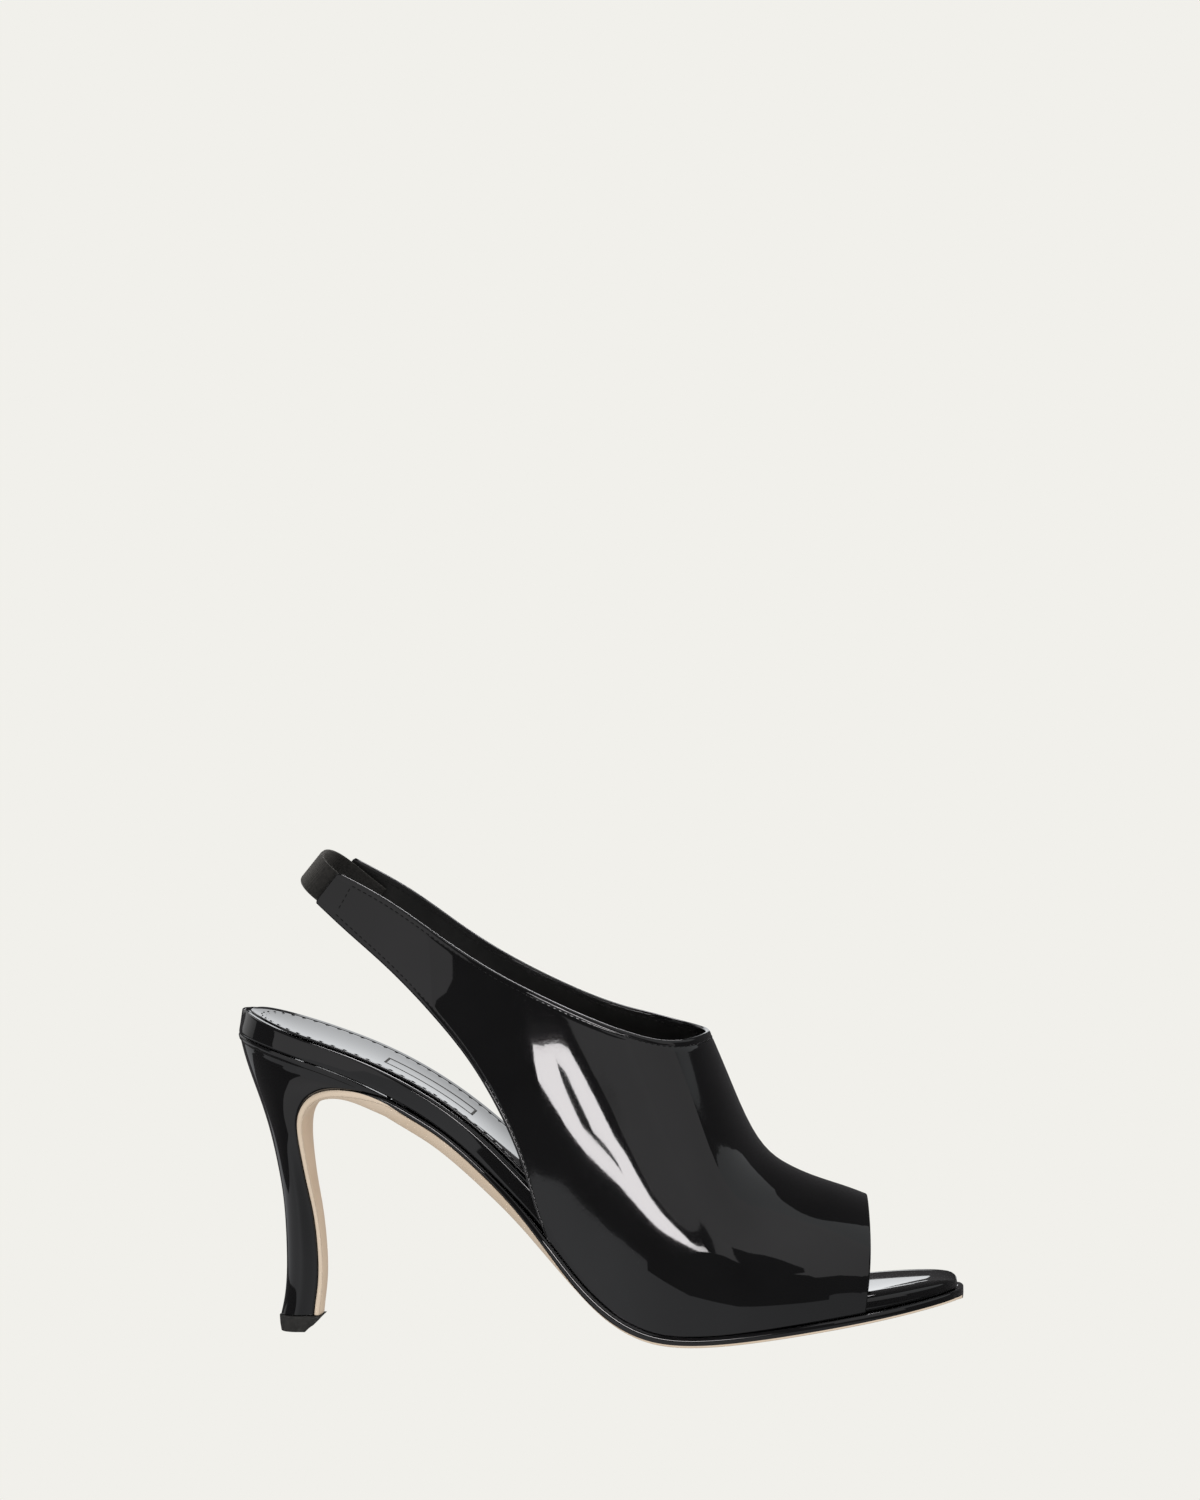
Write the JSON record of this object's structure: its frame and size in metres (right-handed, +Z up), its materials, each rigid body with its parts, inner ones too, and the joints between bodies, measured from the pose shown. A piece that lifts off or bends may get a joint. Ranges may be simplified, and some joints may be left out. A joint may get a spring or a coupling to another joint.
{
  "type": "slingback sandal",
  "caption": "High-heeled peep-toe slingback sandal in glossy patent leather, with a covered curved heel, a leather sole and an elastic band behind the heel.",
  "frame": {"origin": "on the floor, at the centre of the flat spot under the forefoot", "axes": "+X to the toe, +Y to the medial side, +Z up"},
  "size_m": [0.2186, 0.0794, 0.1461],
  "materials": {
    "patent_leather": "high-gloss black patent",
    "sock_leather": "glossy black lining leather",
    "sole_leather": "smooth pale sole leather",
    "elastic": "matt black woven elastic",
    "tip_rubber": "matt black rubber"
  },
  "bodies": {
    "root": {"outsole": "sole_leather", "insole_board": "patent_leather", "sock": "sock_leather", "upper": "patent_leather", "back_elastic": "elastic", "heel": "patent_leather", "top_piece": "tip_rubber"}
  },
  "joints": []
}
